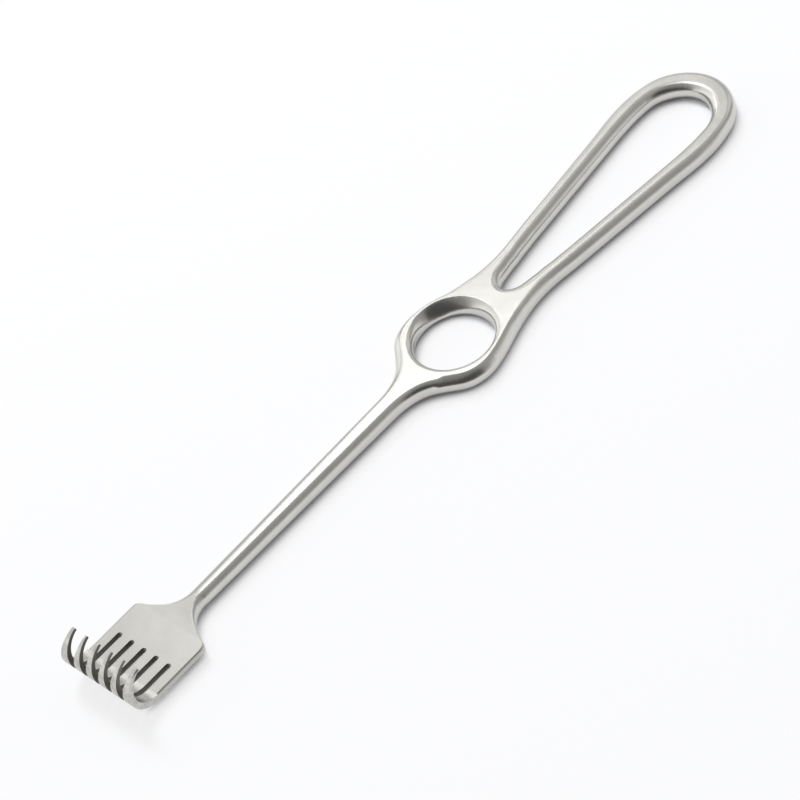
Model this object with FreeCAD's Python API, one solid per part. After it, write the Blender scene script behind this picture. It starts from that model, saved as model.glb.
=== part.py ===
import FreeCAD, Part
import math
import os

# Rake retractor held in the hand, forged from one bar of stainless steel.
# Finger ring and open grip loop at one end, a round shaft, and a thin slotted plate
# whose six prongs curl up. It lies on its back with the prongs pointing up.
# Lengths are in millimetres, measured along X from the middle of the finger ring.

# thickness of the forging
HANDLE_THICKNESS = 4.9
OUTER_ROUND = 1.95         # radius of the rounded outer edges
HOLE_ROUND = 1.5           # and of the edges of the finger hole
GRIP_ROUND = 2.2           # and of the grip opening

# outer outline of the handle: distance from the ring's middle, half width
ROOT_X, ROOT_HALF = -24.5, 2.7
SWELL_X, SWELL_HALF = -20.0, 3.1
TOE_X, TOE_HALF = -15.3, 4.85
WAIST_X, WAIST_HALF = 21.0, 8.05
GRIP_X, GRIP_HALF = 37.0, 9.25
LOOP_X, LOOP_HALF = 65.0, 12.2
WIDEST_X, WIDEST_HALF = 83.0, 13.85
CORNER_X, CORNER_HALF = 96.9, 9.9
LOOP_END_X = 102.0

# finger hole, and the widths of the bar round it
HOLE_HALF_LENGTH = 10.25
HOLE_HALF_WIDTH = 8.9
FLANK_DEG = 55.0           # where round the hole the ring's flanks are set out
FRONT_BAR = 4.45
RING_BAR = 3.75
REAR_BAR = 4.05

# grip opening, and the widths of the bar round it
NOSE_X = 18.3
NOSE_SIDE_X, NOSE_SIDE_HALF = 20.6, 2.45
TAPER_X, TAPER_HALF = 27.5, 3.4
BEND_X = 91.0
GRIP_BAR = 4.5
LOOP_BAR = 4.85
WIDEST_BAR = 5.3
CORNER_BAR = 3.1
END_BAR = 6.5

# shaft and neck
NECK_X = -87.0
NECK_HALF = 2.08
NECK_THICKNESS = 4.3
NECK_ROUND = 1.95
NECK_ARC_X = -87.7
NECK_ARC_RADIUS = 7.5
NECK_FLARE_DEG = 60.0
NECK_SECTIONS = 8

# slotted plate
PLATE_HALF = 10.4
PLATE_THICKNESS = 1.7
PLATE_UNDERSIDE = 1.8      # height above the ground the handle lies on
PLATE_EDGE = 0.6           # the plate's top edges are rounder than those of its back
PLATE_BACK_EDGE = 0.25
SHOULDER_ROUND = 0.6

# prongs
PRONGS = 6
PRONG_PITCH = 3.6
SLOT_WIDTH = 1.3
SLOT_END_X = -104.9
CURL_X = -111.55
CURL_RADIUS = 6.45
SIDE_THICKNESS = 1.3       # of a prong where it stands upright
TIP_THICKNESS = 0.7
TIP_DEG = 160.0            # how far round the curl goes, from straight down
TIP_NOSE_DEG = 4.0         # and the rounded point past it
NARROWING_START_Z = 5.5
NARROWING_MID_Z, NARROWING_MID = 10.3, 0.35
NARROWING_END_Z, NARROWING_END = 14.5, 0.95

# lengths closer than this meet where the pieces of the forging run into each other
JOIN_GAP = 0.001
ARC_GAP = 0.1              # how far an arc may leave the outline that it follows
ARC_STEP = 1.5             # spacing of the places where two arcs may meet
STRAIGHT = 1e-5            # a bend smaller than this, in radians, counts as straight
MIRRORED_POINTS = 3        # how far an outline is carried past the middle to cross it squarely

V = FreeCAD.Vector
ROUND = 4 / 3 * (math.sqrt(2) - 1)   # how far a round corner's curve reaches towards it
MIDDLE = HANDLE_THICKNESS / 2
PLATE_MIDDLE = PLATE_UNDERSIDE + PLATE_THICKNESS / 2
FLARE = math.radians(NECK_FLARE_DEG)
FLARE_X = NECK_ARC_X - NECK_ARC_RADIUS * math.sin(FLARE)
FLARE_HALF = NECK_HALF + NECK_ARC_RADIUS * (1 - math.cos(FLARE))
SHOULDER_X = FLARE_X - (PLATE_HALF - FLARE_HALF) / math.tan(FLARE)
PLATE_START_X = SHOULDER_X - 2 * SHOULDER_ROUND
HEAD_REACH = CURL_RADIUS - CURL_X


def towards(start, corner, share):
    return start + (corner - start) * share


def rounded(start, corner, end):
    """One edge that leaves start and reaches end along the two sides of a corner."""
    curve = Part.BezierCurve()
    curve.setPoles([start, towards(start, corner, ROUND), towards(end, corner, ROUND), end])
    return curve.toShape()


def section(x, half_width, half_height, middle, upper, lower):
    """Upright cross-section of the shaft, neck or plate with four rounded corners."""
    corners = []
    for side, level, radius in ((1, 1, upper), (1, -1, lower), (-1, -1, lower), (-1, 1, upper)):
        corner = V(x, side * half_width, middle + level * half_height)
        flat = corner - V(0, side * radius, 0)
        upright = corner - V(0, 0, level * radius)
        first, last = (flat, upright) if side * level > 0 else (upright, flat)
        corners.append((first, corner, last))
    edges = []
    for i, (first, corner, last) in enumerate(corners):
        edges.append(rounded(first, corner, last))
        edges.append(Part.makeLine(last, corners[(i + 1) % 4][0]))
    return Part.Wire(edges)


def mirrored(point):
    return V(point.x, -point.y, point.z)


def round_hole(degrees, bar):
    """Plan position a bar's width outside the finger hole, at an angle round it."""
    a = math.radians(degrees)
    x, y = HOLE_HALF_LENGTH * math.cos(a), HOLE_HALF_WIDTH * math.sin(a)
    out = V(math.cos(a) / HOLE_HALF_LENGTH, math.sin(a) / HOLE_HALF_WIDTH, 0).normalize()
    return x + out.x * bar, y + out.y * bar


def arc(start, along, end):
    """Arc that leaves start in a given direction and reaches end."""
    chord = end - start
    turn = along.getAngle(chord)
    if turn < STRAIGHT:
        return Part.makeLine(start, end)
    across = (along * chord.Length - chord * math.cos(turn)).normalize()
    bulge = chord.Length / 2 * math.tan(turn / 2)
    return Part.Arc(start, start + chord * 0.5 + across * bulge, end).toShape()


def stretch(start, along, end, onward):
    """Two arcs that meet smoothly and leave and arrive in the given directions."""
    chord = end - start
    both = along + onward
    bend = 2 * (1 - along.dot(onward))
    if bend < STRAIGHT ** 2:
        reach = chord.Length / 2
    else:
        lean = chord.dot(both)
        reach = (math.sqrt(lean ** 2 + bend * chord.dot(chord)) - lean) / bend
    middle = (start + along * reach + end - onward * reach) * 0.5
    return [arc(start, along, middle), arc(end, -onward, middle)]


def follows(curve, places, arcs):
    """Whether two arcs stay beside the curve between its first and last place."""
    arcs = Part.Wire(arcs)
    for a, b in zip(places, places[1:]):
        if arcs.distToShape(Part.Vertex(curve.value((a + b) / 2)))[0] > ARC_GAP:
            return False
    return True


def arcs_along(curve, first, last, leaving, arriving):
    """Arcs, as few as serve, that follow a curve and leave and arrive in given directions."""
    steps = round(curve.length(first, last) / ARC_STEP)
    places = [first + (last - first) * i / steps for i in range(steps + 1)]
    headings = [leaving] + [curve.tangent(place)[0] for place in places[1:-1]] + [arriving]
    arcs = []
    start = 0
    while start < steps:
        for end in range(start + 1, steps + 1):
            longer = stretch(curve.value(places[start]), headings[start],
                             curve.value(places[end]), headings[end])
            if end > start + 1 and not follows(curve, places[start:end + 1], longer):
                break
            found, reached = longer, end
        arcs += found
        start = reached
    return arcs


def smooth(half):
    """Curve through half an outline, and the place of each point along that curve."""
    half = [V(x, y, 0) for x, y in half]
    n = MIRRORED_POINTS
    before = [mirrored(p) for p in half[n:0:-1]] if half[0].y == 0 else []
    after = [mirrored(p) for p in half[-2:-2 - n:-1]]
    points = before + half + after
    places = [0.0]
    for a, b in zip(points, points[1:]):
        places.append(places[-1] + a.distanceToPoint(b))
    curve = Part.BSplineCurve()
    curve.interpolate(Points=points, Parameters=places)
    return curve, places[len(before):len(before) + len(half)]


def outline(before, after, leaving, arriving):
    """Half an outline and its mirror image, with a straight flank between its two runs."""
    curve, places = smooth(before + after)
    flank_start, flank_end = V(*before[-1], 0), V(*after[0], 0)
    along = (flank_end - flank_start).normalize()
    n = len(before)
    half = arcs_along(curve, places[0], places[n - 1], leaving, along)
    half.append(Part.makeLine(flank_start, flank_end))
    half += arcs_along(curve, places[n], places[-1], along, arriving)
    return both_sides(half)


def both_sides(half):
    return half + [e.mirror(V(0, 0, 0), V(0, 1, 0)) for e in reversed(half)]


def outer_outline():
    ring = [(ROOT_X, ROOT_HALF), (SWELL_X, SWELL_HALF), (TOE_X, TOE_HALF),
            round_hole(180 - FLANK_DEG, FRONT_BAR), round_hole(90, RING_BAR),
            round_hole(FLANK_DEG, REAR_BAR), (WAIST_X, WAIST_HALF), (GRIP_X, GRIP_HALF)]
    loop = [(LOOP_X, LOOP_HALF), (WIDEST_X, WIDEST_HALF), (CORNER_X, CORNER_HALF),
            (LOOP_END_X, 0)]
    return outline(ring, loop, V(1, 0, 0), V(0, -1, 0))


def grip_opening():
    wide = [(LOOP_END_X - END_BAR, 0), (BEND_X, CORNER_HALF - CORNER_BAR),
            (WIDEST_X, WIDEST_HALF - WIDEST_BAR), (LOOP_X, LOOP_HALF - LOOP_BAR)]
    nose = [(GRIP_X, GRIP_HALF - GRIP_BAR), (TAPER_X, TAPER_HALF),
            (NOSE_SIDE_X, NOSE_SIDE_HALF), (NOSE_X, 0)]
    return outline(wide, nose, V(0, 1, 0), V(0, -1, 0))


def finger_hole():
    ellipse = Part.Ellipse(V(0, 0, 0), HOLE_HALF_LENGTH, HOLE_HALF_WIDTH)
    return both_sides(arcs_along(ellipse, 0, math.pi, V(0, 1, 0), V(0, -1, 0)))


def middle_of(edge):
    place = edge.valueAt((edge.FirstParameter + edge.LastParameter) / 2)
    return V(place.x, place.y, 0)


def rims(solid, wanted):
    """The edges of the top and the back that lie over the wanted plan edges."""
    middles = [middle_of(e) for e in wanted]
    return [e for e in solid.Edges if e.BoundBox.ZLength < JOIN_GAP
            and min(middle_of(e).distanceToPoint(m) for m in middles) < JOIN_GAP]


def handle():
    """Ring and loop: the plan of the forging with its two openings, rounded all round."""
    outer = outer_outline()
    openings = [finger_hole(), grip_opening()]
    root = Part.makeLine(V(ROOT_X, -ROOT_HALF, 0), V(ROOT_X, ROOT_HALF, 0))
    plan = Part.Face(Part.Wire(Part.__sortEdges__(outer + [root])))
    plan = plan.cut([Part.Face(Part.Wire(Part.__sortEdges__(o))) for o in openings]).Faces[0]
    body = plan.extrude(V(0, 0, HANDLE_THICKNESS))
    body = body.makeFillet(OUTER_ROUND, rims(body, outer))
    body = body.makeFillet(HOLE_ROUND, rims(body, openings[0]))
    return body.makeFillet(GRIP_ROUND, rims(body, openings[1]))


def shaft():
    root = section(ROOT_X, ROOT_HALF, HANDLE_THICKNESS / 2, MIDDLE, OUTER_ROUND, OUTER_ROUND)
    end = section(NECK_X, NECK_HALF, NECK_THICKNESS / 2, MIDDLE, NECK_ROUND, NECK_ROUND)
    return Part.makeLoft([root, end], True, True)


def neck_half_width(x):
    """Straight shaft, then an arc, then the slanting shoulder with its rounded corner."""
    if x > NECK_ARC_X:
        return NECK_HALF
    if x > FLARE_X:
        rise = math.sqrt(NECK_ARC_RADIUS ** 2 - (NECK_ARC_X - x) ** 2)
        return NECK_HALF + NECK_ARC_RADIUS - rise
    short = (x - SHOULDER_X) * math.tan(FLARE)
    if short > SHOULDER_ROUND:
        return PLATE_HALF - short
    return PLATE_HALF - max(0.0, (short + SHOULDER_ROUND) / 2) ** 2 / SHOULDER_ROUND


def neck():
    """Round shaft end that spreads and thins down to the plate."""
    sections = []
    places = [NECK_X + (SHOULDER_X - NECK_X) * i / NECK_SECTIONS for i in range(NECK_SECTIONS + 1)]
    for x in places + [SHOULDER_X - SHOULDER_ROUND, PLATE_START_X]:
        share = min(1.0, (NECK_X - x) / (NECK_X - SHOULDER_X))
        share = share * share * (3 - 2 * share)
        thickness = NECK_THICKNESS + (PLATE_THICKNESS - NECK_THICKNESS) * share
        middle = MIDDLE + (PLATE_MIDDLE - MIDDLE) * share
        upper = NECK_ROUND + (PLATE_EDGE - NECK_ROUND) * share
        lower = NECK_ROUND + (PLATE_BACK_EDGE - NECK_ROUND) * share
        sections.append(section(x, neck_half_width(x), thickness / 2, middle, upper, lower))
    return Part.makeLoft(sections, True, False)


def on_circle(centre, radius, degrees):
    """Point of an upright circle, counted from straight down towards the head's end."""
    a = math.radians(degrees)
    return V(centre.x - radius * math.sin(a), centre.y, centre.z - radius * math.cos(a))


def curl():
    """The plate's end, curled up across the whole width and thinning towards the tips."""
    y = -PLATE_HALF
    top = PLATE_UNDERSIDE + PLATE_THICKNESS
    outer = V(CURL_X, y, PLATE_UNDERSIDE + CURL_RADIUS)
    thinning = (PLATE_THICKNESS + TIP_THICKNESS) / 2
    inner = outer + V(SIDE_THICKNESS - thinning, 0, (PLATE_THICKNESS - TIP_THICKNESS) / 2)
    inner_radius = CURL_RADIUS - thinning
    halfway = TIP_DEG / 2
    outer_end = on_circle(outer, CURL_RADIUS, TIP_DEG)
    inner_end = on_circle(inner, inner_radius, TIP_DEG)
    tip = on_circle(outer, CURL_RADIUS - TIP_THICKNESS / 2, TIP_DEG + TIP_NOSE_DEG)
    start = [V(inner.x, y, PLATE_UNDERSIDE), V(inner.x, y, top)]
    face = Part.Face(Part.Wire([
        Part.makeLine(*start),
        Part.Arc(start[1], on_circle(inner, inner_radius, halfway), inner_end).toShape(),
        Part.Arc(inner_end, tip, outer_end).toShape(),
        Part.Arc(outer_end, on_circle(outer, CURL_RADIUS, halfway),
                 V(CURL_X, y, PLATE_UNDERSIDE)).toShape(),
        Part.makeLine(V(CURL_X, y, PLATE_UNDERSIDE), start[0])]))
    return face.extrude(V(0, 2 * PLATE_HALF, 0)), inner.x


def plate(end_x):
    """Flat plate with rounded long edges, from the neck to the start of the curl."""
    ends = [section(x, PLATE_HALF, PLATE_THICKNESS / 2, PLATE_MIDDLE, PLATE_EDGE,
                    PLATE_BACK_EDGE) for x in (PLATE_START_X, end_x)]
    return Part.makeLoft(ends, True, True)


def gap(middle_y, start_half, sideways):
    """Cutter for one gap: straight through the plate, widening up the curl to the tips."""
    far = CURL_X - 2 * CURL_RADIUS
    beyond = PRONG_PITCH
    left = [V(far, middle_y - start_half, NARROWING_START_Z),
            V(far, middle_y - start_half - NARROWING_MID, NARROWING_MID_Z),
            V(far, middle_y - start_half - NARROWING_END, NARROWING_END_Z)]
    right = [V(far, 2 * middle_y - p.y, p.z) for p in left]
    if sideways:
        right = [V(far, middle_y + beyond, p.z) for p in left]
    face = Part.Face(Part.Wire([
        Part.Arc(*left).toShape(),
        Part.makeLine(left[2], right[2]),
        Part.makeLine(right[2], right[0]) if sideways else Part.Arc(*reversed(right)).toShape(),
        Part.makeLine(right[0], left[0])]))
    return face.extrude(V(SLOT_END_X - far, 0, 0))


def slot(middle_y):
    height = 4 * CURL_RADIUS
    low = -CURL_RADIUS
    length = 3 * CURL_RADIUS
    bar = Part.makeBox(length, SLOT_WIDTH, height,
                       V(SLOT_END_X - length, middle_y - SLOT_WIDTH / 2, low))
    end = Part.makeCylinder(SLOT_WIDTH / 2, height, V(SLOT_END_X, middle_y, low))
    return bar.fuse(end)


def head():
    """The slotted plate with its curled prongs."""
    bent, bend_start = curl()
    shape = plate(bend_start).fuse(bent)
    cutters = []
    for i in range(PRONGS - 1):
        y = (i - (PRONGS - 2) / 2) * PRONG_PITCH
        cutters.append(slot(y))
        cutters.append(gap(y, SLOT_WIDTH / 2, False))
    side = gap(PLATE_HALF, 0, True)
    cutters.append(side)
    cutters.append(side.mirror(V(0, 0, 0), V(0, 1, 0)))
    return shape.cut(cutters)


def retractor():
    body = handle().fuse([shaft(), neck(), head()], JOIN_GAP)
    body.translate(V((HEAD_REACH - LOOP_END_X) / 2, 0, 0))
    return body


os.makedirs("parts", exist_ok=True)
part = retractor()

part.exportStep("parts/retractor.step")
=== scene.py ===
import math

import bpy
import mathutils
import numpy as np
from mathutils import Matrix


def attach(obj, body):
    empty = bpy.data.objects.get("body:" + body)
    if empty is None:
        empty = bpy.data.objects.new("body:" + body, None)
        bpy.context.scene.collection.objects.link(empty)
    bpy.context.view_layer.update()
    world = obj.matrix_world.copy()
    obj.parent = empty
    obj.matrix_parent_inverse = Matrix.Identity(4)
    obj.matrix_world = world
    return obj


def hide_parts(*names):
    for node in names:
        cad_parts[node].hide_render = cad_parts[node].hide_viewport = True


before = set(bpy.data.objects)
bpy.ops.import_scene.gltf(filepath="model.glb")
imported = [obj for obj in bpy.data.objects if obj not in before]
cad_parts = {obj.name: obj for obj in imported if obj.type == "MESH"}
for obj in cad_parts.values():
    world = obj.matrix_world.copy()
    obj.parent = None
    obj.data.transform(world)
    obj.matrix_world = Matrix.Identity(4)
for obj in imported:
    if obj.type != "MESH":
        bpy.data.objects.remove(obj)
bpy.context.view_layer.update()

# Lengths are in metres. The instrument lies along X, with its prongs at the -X end.

# finger hole, and the broad slope that is ground inside its upper rim
HOLE_X = 0.008
HOLE_HALF = (0.01025, 0.0089)
HOLE_ROUND = 0.0015                   # the solid's own round at the rim
WALL_LOW, WALL_TOP = 0.0015, 0.0034   # the hole's upright wall, between the two rounds
SINK_WIDTH = 0.0024
SINK_DEPTH = 0.0029
SINK_FLATNESS = 1.75                  # 1 is a plain round, 2 a flat slope
SINK_TOWARDS = (0.57, 0.82)           # the stone leaned this way, and left the round elsewhere
SINK_FADE = 0.0044                    # distance from the hole where the top is untouched

# flat that the belt left on the ring's outer round, on the -Y side
OUTER_ROUND = 0.00195
BELT_FLATNESS = 1.45
BELT_FROM, BELT_TO, BELT_EASE = -0.012, 0.024, 0.006
BELT_SIDE_Y = -0.006                  # it works on the -Y side of this
BELT_FACING = (0.3, 0.6)              # how far a place faces -Y where it starts and bites in full
BELT_CLEAR = 0.0016                   # it stays this far from the finger hole

# grip opening, and the places where its sides are filed straight: middle, reach and move
OPENING_X, OPENING_HALF, OPENING_SLANT = 0.030, 0.0027, 0.13
GRIP_BAR = 0.0045
FILED = ((0.0314, 0.0030, -0.00036), (0.0389, 0.0026, 0.00029), (0.0450, 0.0025, -0.00008))
FILED_FADE = (0.2, 1.0)               # across the bar, from the opening outwards
NOSE_EASE = 0.0015                    # the middle of the opening's nose stays in place

# where the finish changes along the head
NECK_X = -0.082                       # the bead blast fades in over NECK_EASE each way
NECK_EASE = 0.004
SHOULDER_X = -0.0880                  # the plate lies on the -X side of this
SHOULDER_EASE = 0.0015
SLOT_START_X = -0.0950                # the slots lie on the -X side of this
CURL_X = -0.1045                      # the prongs start to curl up
CURL_EASE = 0.002
PLATE_HALF = 0.0104
PLATE_EDGE = 0.0008                   # the plate's own long sides, this wide, keep out of the darker slot-wall colour

# metal
BRIGHT_TONES = ((0.3, (0.60, 0.593, 0.562, 1)), (0.7, (0.66, 0.652, 0.62, 1)))
DULL_TONES = ((0.38, (0.45, 0.444, 0.42, 1)), (0.62, (0.60, 0.592, 0.565, 1)))
# darker colour on the slot walls that face the next prong
SLOT_WALL_TONE = (0.24, 0.235, 0.21, 1)
PLATE_SHADE_SHARE = 0.86                     # share of the bright tones' value kept on the plate, a painted shade that dims it
GRAIN_STRETCH = 0.12
ROUGHNESS = (0.17, 0.29)
HEAD_ROUGHER = 0.11
SLOT_WALL_ROUGHER = 0.25
SLOT_WALL_FACING = (0.35, 0.75)            # how far a wall faces sideways, from plain colour to the full darker slot-wall colour

# table, lamps and camera
TABLE_SIZE = 6.0
# matt colour of the table, tinted blue to paint a bluish tint into its shadow
TABLE_SHADE_TINT = (0.86, 0.87, 0.92, 1)
TABLE_LIFT = 0.76                     # share of painted white glow in the table, as seen and mirrored, which covers its shadow
CONTACT_REACH = 0.0032                # how far away the steel darkens the table under it
CONTACT_SHADE = (0.35, 0.8)           # how open the table is there, from no lift to full lift
KEY_WATTS = 9.0
KEY_SIZE = (0.35, 0.5)
KEY_WAY = (0.20, 0.55, 0.80)          # from the instrument towards the lamp
KEY_DISTANCE = 1.2
SOFTBOXES = (                         # name, brightness, lowest and highest corner
    ("softbox_top", 1.9, (0.12, 0.27, 0.45), (0.27, 0.307, 0.45)),
    ("softbox_middle", 1.9, (0.10, 0.08, 0.45), (0.27, 0.27, 0.45)),
    ("softbox_low", 1.9, (0.05, 0.08, 0.45), (0.10, 0.235, 0.45)),
    ("softbox_strip", 1.25, (0.27, 0.262, 0.45), (0.46, 0.307, 0.45)),
    ("softbox_behind", 1.25, (0.17, 0.40, 0.18), (0.30, 0.40, 0.42)))
CAMERA_PLACE = (-0.27541, -0.30420, 0.45103)
CAMERA_TURN = (41.178, 8.172, -50.130)   # degrees
CAMERA_LENS, CAMERA_SENSOR = 120.25, 36  # millimetres

# how bright the room is on the way over from +Y (0) past the ceiling (90) to -Y (180)
ROOM_LEFT = ((0, 1.28), (30, 1.3), (45, 1.1), (58, 1.02), (68, 0.8), (85, 0.5), (100, 0.33),
             (122, 0.27), (134, 0.1), (152, 0.07), (163, 0.09), (171, 0.22), (178, 0.5))
ROOM_LAMP = ((0, 0.5), (12, 0.5), (25, 0.6), (40, 0.75), (50, 0.95), (58, 0.92), (70, 0.62),
             (84, 0.56), (100, 0.48), (115, 0.42), (135, 0.38),
             (150, 0.36), (160, 0.42), (168, 0.6), (178, 0.78))
ROOM_RIGHT = ((0, 0.86), (30, 0.9), (45, 1.0), (52, 1.04), (58, 0.8), (64, 0.6), (75, 0.54),
              (90, 0.5), (105, 0.46), (125, 0.45), (140, 0.5), (150, 0.62), (160, 0.8),
              (172, 0.87))
ROOM_END = ((0, 0.85), (30, 0.75), (50, 0.5), (62, 0.65), (72, 0.95), (84, 0.8), (100, 0.5),
            (115, 0.4), (130, 0.5), (142, 0.8), (152, 0.98), (180, 1.0))
# where one stretch of it gives way to the next, from straight over (0) to the +X end (1)
ROOM_CHANGES =((0.17, 0.27, ROOM_LAMP), (0.43, 0.5, ROOM_RIGHT), (0.6, 0.7, ROOM_END))

SPECK = 1e-9                          # keeps a length off nought
TINY = 1e-6                           # keeps a share off nought
STEP = 2e-6                           # over which the moves' slopes are measured


class Nodes:
    """A material's or world's node tree, emptied, with short ways to fill it."""

    def __init__(self, owner):
        owner.use_nodes = True
        self.tree = owner.node_tree
        self.tree.nodes.clear()

    def add(self, kind, **settings):
        node = self.tree.nodes.new(kind)
        for name, value in settings.items():
            if name in node.inputs:
                node.inputs[name].default_value = value
            else:
                setattr(node, name, value)
        return node

    def link(self, output, socket):
        self.tree.links.new(output, socket)

    def noise(self, place, scale, detail, roughness=0.5):
        node = self.add("ShaderNodeTexNoise", Scale=scale, Detail=detail, Roughness=roughness)
        self.link(place, node.inputs["Vector"])
        return node.outputs["Fac"]

    def sums(self, operation, *values, clamp=False):
        """Arithmetic on sockets and plain numbers."""
        node = self.add("ShaderNodeMath", operation=operation, use_clamp=clamp)
        for socket, value in zip(node.inputs, values):
            if isinstance(value, float):
                socket.default_value = value
            else:
                self.link(value, socket)
        return node.outputs[0]

    def graded(self, value, start, end, low=0.0, high=1.0, kind="SMOOTHSTEP"):
        """Goes from low to high while a value goes from start to end."""
        node = self.add("ShaderNodeMapRange", interpolation_type=kind)
        node.inputs["From Min"].default_value = start
        node.inputs["From Max"].default_value = end
        node.inputs["To Min"].default_value = low
        node.inputs["To Max"].default_value = high
        self.link(value, node.inputs["Value"])
        return node.outputs["Result"]

    def ramp(self, value, stops):
        """Colours between stops, each a place from 0 to 1 and a colour."""
        node = self.add("ShaderNodeValToRGB")
        marks = node.color_ramp.elements
        while len(marks) < len(stops):
            marks.new(0.5)
        for mark, stop in zip(marks, stops):
            mark.position = stop[0]
        for mark, stop in zip(marks, stops):
            mark.color = stop[1]
        self.link(value, node.inputs["Fac"])
        return node.outputs["Color"]

    def mixed(self, share, below, above):
        """One colour below another, which is a socket or a plain colour."""
        node = self.add("ShaderNodeMix", data_type="RGBA")
        self.link(share, node.inputs["Factor"])
        self.link(below, node.inputs["A"])
        if isinstance(above, tuple):
            node.inputs["B"].default_value = above
        else:
            self.link(above, node.inputs["B"])
        return node.outputs["Result"]

    def bump(self, height, strength, distance, below=None):
        node = self.add("ShaderNodeBump", Strength=strength, Distance=distance)
        self.link(height, node.inputs["Height"])
        if below:
            self.link(below, node.inputs["Normal"])
        return node.outputs["Normal"]


def eased(value, start, end):
    share = np.clip((value - start) / (end - start), 0, 1)
    return share * share * (3 - 2 * share)


def unit(vectors):
    return vectors / np.linalg.norm(vectors, axis=1)[:, None]


def from_hole(points):
    """How far each point lies outside the edge of the finger hole, and which way that is."""
    across = points[:, :2] - (HOLE_X, 0)
    reach = np.linalg.norm(across, axis=1) + SPECK
    times = np.sqrt(((across / HOLE_HALF) ** 2).sum(1)) + SPECK
    return reach * (1 - 1 / times), across / reach[:, None]


def sink(way):
    """Width, depth and flatness of the slope inside the hole, in each direction from its middle."""
    share = np.clip(way @ np.array(SINK_TOWARDS), 0, 1) ** 2
    return (HOLE_ROUND + (SINK_WIDTH - HOLE_ROUND) * share,
            HOLE_ROUND + (SINK_DEPTH - HOLE_ROUND) * share, 1 + (SINK_FLATNESS - 1) * share)


def ground(points):
    """Where the file and the grinding stone leave each point of the forging."""
    moved = points.copy()
    x, y = points[:, 0], points[:, 1]

    # the file, on the sides of the grip opening
    bar = (np.abs(y) - OPENING_HALF - OPENING_SLANT * (x - OPENING_X)) / GRIP_BAR
    move = sum(push * np.exp(-((x - at) / reach) ** 2) for at, reach, push in FILED)
    move = move * (1 - eased(bar, *FILED_FADE)) * eased(np.abs(y), 0, NOSE_EASE)
    moved[:, 1] += np.sign(y) * move

    # the stone, on the upper rim of the finger hole, which takes the wall below along
    out, way = from_hole(points)
    rest = np.clip(1 - out / HOLE_ROUND, 0, 1)
    rise = np.sqrt(1 - rest ** 2)
    on_round = out < HOLE_ROUND
    width, depth, flatness = sink(way)
    wider = width * (1 - rest ** flatness) - HOLE_ROUND * (1 - rest)
    fade = (width - HOLE_ROUND) * (1 - eased(out, HOLE_ROUND, SINK_FADE))
    lower = (HOLE_ROUND - depth) + depth * rise ** flatness - HOLE_ROUND * rise
    high = np.clip((points[:, 2] - WALL_LOW) / (WALL_TOP - WALL_LOW), 0, 1)
    moved[:, :2] += way * (np.where(on_round, wider, fade) * high)[:, None]
    moved[:, 2] += np.where(on_round, lower, 0) * high
    return moved


def ground_normals(points, normals):
    """The normals after the same moves."""
    turn = np.stack([(ground(points + step) - ground(points - step)) / (2 * STEP)
                     for step in np.eye(3) * STEP], axis=2)
    turned = np.linalg.solve(np.transpose(turn, (0, 2, 1)), normals[:, :, None])[:, :, 0]

    # on the slope inside the hole they follow its own formula
    out, way = from_hole(points)
    width, depth, flatness = sink(way)
    rise = np.clip(normals[:, 2], TINY, 1)
    level = np.maximum(np.sqrt(1 - rise ** 2), TINY)
    tilt = depth / width * (rise / level) ** (flatness - 2)
    on_slope = (out < HOLE_ROUND + TINY) & (points[:, 2] > WALL_TOP - TINY) & (rise < 0.999)
    turned[on_slope] = np.column_stack([-way * tilt[:, None], np.ones(len(way))])[on_slope]
    return unit(turned)


def belted(points, normals):
    """Points and normals after the belt has flattened the round of the ring's -Y side."""
    rise = np.clip(normals[:, 2], 0, 1)
    level = np.sqrt(1 - rise ** 2)
    outward = normals[:, :2] / np.maximum(level, TINY)[:, None]
    x, y = points[:, 0], points[:, 1]
    share = eased(x, BELT_FROM, BELT_FROM + BELT_EASE) * eased(x, BELT_TO, BELT_TO - BELT_EASE)
    share = share * eased(-outward[:, 1], *BELT_FACING)
    share = share * (y < BELT_SIDE_Y) * (from_hole(points)[0] > BELT_CLEAR)
    share = share * (rise > 0.0001) * (rise < 0.9999)   # the upright side and the flat top stay
    power = 1 + (BELT_FLATNESS - 1) * share
    moved = points.copy()
    moved[:, :2] += outward * (OUTER_ROUND * (level ** power - level))[:, None]
    moved[:, 2] += OUTER_ROUND * (rise ** power - rise)
    tilt = (np.maximum(rise, TINY) / np.maximum(level, TINY)) ** (power - 2)
    flatter = np.column_stack([outward * tilt[:, None], np.ones(len(tilt))])
    return moved, unit(np.where((share > 0)[:, None], flatter, normals))


def forging():
    """The instrument: the solid's skin with the opening filed straight and the ring ground."""
    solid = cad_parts["retractor"]
    piece = bpy.data.objects.new("forged_retractor", solid.data.copy())
    bpy.context.scene.collection.objects.link(piece)
    skin = piece.data
    normals = np.array([n.vector for n in skin.corner_normals])
    bpy.ops.object.select_all(action="DESELECT")
    piece.select_set(True)
    bpy.context.view_layer.objects.active = piece
    bpy.ops.object.mode_set(mode="EDIT")
    bpy.ops.mesh.select_all(action="SELECT")
    bpy.ops.mesh.remove_doubles(threshold=1e-7)
    bpy.ops.object.mode_set(mode="OBJECT")

    # each corner of a triangle is moved with its normal, and those of one point move alike
    places = np.array([v.co for v in skin.vertices])
    owners = [loop.vertex_index for loop in skin.loops]
    corners = places[owners]
    normals = ground_normals(corners, normals)
    places[owners], normals = belted(ground(corners), normals)
    skin.vertices.foreach_set("co", places.ravel())
    skin.normals_split_custom_set([tuple(n) for n in normals])
    skin.update()
    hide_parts("retractor")
    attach(piece, "root")
    return piece


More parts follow.
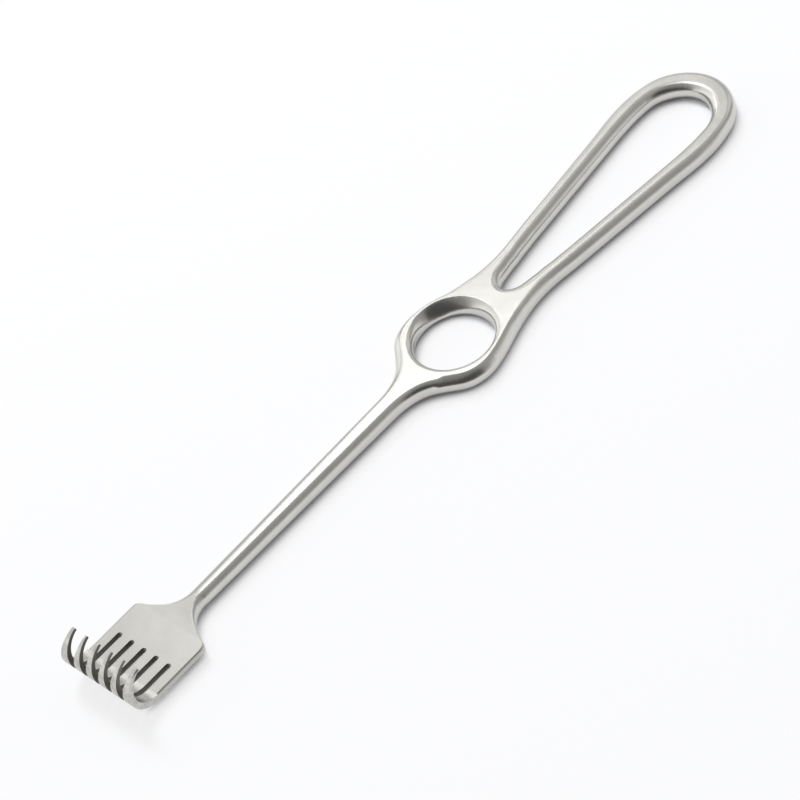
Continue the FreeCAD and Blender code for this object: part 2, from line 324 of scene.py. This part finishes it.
def side_facing_slot_walls(nodes, x, y):
    """1 on the walls of the slots, which lie inside the head between the prongs and face sideways.
    """
    facing = nodes.add("ShaderNodeSeparateXYZ")
    nodes.link(nodes.add("ShaderNodeNewGeometry").outputs["Normal"], facing.inputs["Vector"])
    is_wall = nodes.graded(nodes.sums("ABSOLUTE", facing.outputs["Y"]), *SLOT_WALL_FACING)
    in_head = nodes.sums("LESS_THAN", x, SLOT_START_X)
    inside = nodes.sums("LESS_THAN", nodes.sums("ABSOLUTE", y), PLATE_HALF - PLATE_EDGE)
    return nodes.sums("MULTIPLY", nodes.sums("MULTIPLY", is_wall, in_head), inside)


def steel_finish():
    """Ground and glass-beaded surgical steel, with a darker colour on the side walls of the slots.
    """
    steel = bpy.data.materials.new("satin_surgical_steel")
    nodes = Nodes(steel)
    shader = nodes.add("ShaderNodeBsdfPrincipled", Metallic=1.0)
    nodes.link(shader.outputs["BSDF"], nodes.add("ShaderNodeOutputMaterial").inputs["Surface"])
    place = nodes.add("ShaderNodeTexCoord").outputs["Object"]
    spot = nodes.add("ShaderNodeSeparateXYZ")
    nodes.link(place, spot.inputs["Vector"])
    x, y = spot.outputs["X"], spot.outputs["Y"]
    slot_walls = side_facing_slot_walls(nodes, x, y)

    # fine lines left by the grinding belt, drawn out along the instrument
    drawn = nodes.add("ShaderNodeMapping")
    drawn.inputs["Scale"].default_value = (GRAIN_STRETCH, 1.0, 1.0)
    nodes.link(place, drawn.inputs["Vector"])
    grain = nodes.noise(drawn.outputs["Vector"], 5200.0, 4.0, 0.65)
    beads = nodes.noise(place, 9000.0, 2.0)
    cloud = nodes.noise(place, 170.0, 5.0, 0.6)
    blotches = nodes.noise(place, 900.0, 4.0, 0.6)
    swell = nodes.noise(place, 95.0, 1.5)

    # bright on the handle and shaft, dimmed by painted shade on the plate, dull and blotched on the
    # curl
    plate_shaded = nodes.add("ShaderNodeHueSaturation")
    plate_shade = nodes.graded(x, SHOULDER_X - SHOULDER_EASE, SHOULDER_X + SHOULDER_EASE, PLATE_SHADE_SHARE)
    nodes.link(plate_shade, plate_shaded.inputs["Value"])
    nodes.link(nodes.ramp(cloud, BRIGHT_TONES), plate_shaded.inputs["Color"])
    in_curl = nodes.graded(x, CURL_X + CURL_EASE, CURL_X - CURL_EASE)
    metal = nodes.mixed(in_curl, plate_shaded.outputs["Color"], nodes.ramp(blotches, DULL_TONES))
    # darker colour on the side walls of the slots between the prongs
    nodes.link(nodes.mixed(slot_walls, metal, SLOT_WALL_TONE), shader.inputs["Base Color"])

    polish = nodes.graded(grain, 0.0, 1.0, *ROUGHNESS, kind="LINEAR")
    blasted = nodes.graded(x, NECK_X + NECK_EASE, NECK_X - NECK_EASE, 0.0, HEAD_ROUGHER)
    blasted = nodes.sums("ADD", polish, blasted)
    rough = nodes.sums("MULTIPLY_ADD", slot_walls, SLOT_WALL_ROUGHER, blasted)
    nodes.link(rough, shader.inputs["Roughness"])

    lines = nodes.bump(grain, 0.035, 0.00002)
    dimples = nodes.bump(beads, 0.045, 0.00002, lines)
    waves = nodes.bump(swell, 0.45, 0.00025, dimples)
    nodes.link(waves, shader.inputs["Normal"])
    return steel


def table():
    """White table with a painted glow that lifts it to clean white, held back where ambient
    occlusion finds the steel close, so its shadow stays only as a thin dark line where the steel
    touches.
    """
    bpy.ops.mesh.primitive_plane_add(size=TABLE_SIZE, location=(0, 0, 0))
    top = bpy.context.object
    top.name = "white_table"
    paper = bpy.data.materials.new("white_paper")
    nodes = Nodes(paper)
    matt = nodes.add("ShaderNodeBsdfDiffuse", Color=TABLE_SHADE_TINT)
    # painted light: a glow for camera and mirrored rays, graded by ambient occlusion
    glow = nodes.add("ShaderNodeEmission", Strength=1.0)
    open_sky = nodes.add("ShaderNodeAmbientOcclusion", Distance=CONTACT_REACH, samples=8)
    painted_glow = nodes.graded(open_sky.outputs["AO"], *CONTACT_SHADE, 0.0, TABLE_LIFT)
    ray = nodes.add("ShaderNodeLightPath").outputs
    seen = nodes.sums("ADD", ray["Is Camera Ray"], ray["Is Glossy Ray"])
    seen = nodes.sums("ADD", seen, ray["Is Transmission Ray"], clamp=True)
    mix = nodes.add("ShaderNodeMixShader")
    nodes.link(nodes.sums("MULTIPLY", painted_glow, seen), mix.inputs["Fac"])
    nodes.link(matt.outputs["BSDF"], mix.inputs[1])
    nodes.link(glow.outputs["Emission"], mix.inputs[2])
    nodes.link(mix.outputs["Shader"], nodes.add("ShaderNodeOutputMaterial").inputs["Surface"])
    top.data.materials.append(paper)


def studio():
    """A lit room: a lamp above, dark on the near left, light walls on the right."""
    world = bpy.context.scene.world or bpy.data.worlds.new("studio")
    bpy.context.scene.world = world
    nodes = Nodes(world)
    room = nodes.add("ShaderNodeBackground", Strength=1.0)
    nodes.link(room.outputs["Background"], nodes.add("ShaderNodeOutputWorld").inputs["Surface"])
    way = nodes.add("ShaderNodeSeparateXYZ")
    nodes.link(nodes.add("ShaderNodeTexCoord").outputs["Generated"], way.inputs["Vector"])
    turn = nodes.sums("ARCTAN2", way.outputs["Z"], way.outputs["Y"])
    over = nodes.sums("DIVIDE", turn, math.pi)

    def stretch(stops):
        greys = [(degrees / 180, (level, level, level, 1)) for degrees, level in stops]
        return nodes.ramp(over, greys)

    light = stretch(ROOM_LEFT)
    for start, end, stops in ROOM_CHANGES:
        share = nodes.graded(way.outputs["X"], start, end)
        light = nodes.mixed(share, light, stretch(stops))
    nodes.link(light, room.inputs["Color"])


def softbox(name, level, low, high):
    """Bright panel that only the polish shows: over the table, or upright where its depth is 0."""
    size = [b - a for a, b in zip(low, high)]
    upright = size[1] == 0
    middle = [(a + b) / 2 for a, b in zip(low, high)]
    bpy.ops.object.light_add(type="AREA", location=middle)
    panel = bpy.context.object
    panel.name = name
    panel.rotation_euler = (-math.pi / 2 if upright else 0, 0, 0)
    panel.data.shape = "RECTANGLE"
    panel.data.size = size[0]
    panel.data.size_y = size[2] if upright else size[1]
    panel.data.energy = level * math.pi * panel.data.size * panel.data.size_y
    panel.visible_camera = False
    panel.visible_diffuse = False


def key_light():
    """Broad lamp beyond the instrument, so its soft shadow falls towards the viewer."""
    way = mathutils.Vector(KEY_WAY).normalized()
    bpy.ops.object.light_add(type="AREA", location=way * KEY_DISTANCE)
    key = bpy.context.object
    key.name = "key_light"
    key.data.shape = "RECTANGLE"
    key.data.size, key.data.size_y = KEY_SIZE
    key.data.energy = KEY_WATTS
    key.rotation_euler = way.to_track_quat("Z", "Y").to_euler()
    key.visible_glossy = False


def camera():
    """Camera at the photograph's viewing angle."""
    bpy.ops.object.camera_add(location=CAMERA_PLACE)
    view = bpy.context.object
    view.rotation_euler = [math.radians(a) for a in CAMERA_TURN]
    view.data.lens = CAMERA_LENS
    view.data.sensor_width = CAMERA_SENSOR
    view.data.clip_start = 0.01
    bpy.context.scene.camera = view


bpy.ops.object.select_all(action="DESELECT")
retractor = forging()
retractor.data.materials.clear()
retractor.data.materials.append(steel_finish())
table()
studio()
for panel in SOFTBOXES:
    softbox(*panel)
key_light()
camera()
bpy.context.scene.view_settings.view_transform = "Standard"
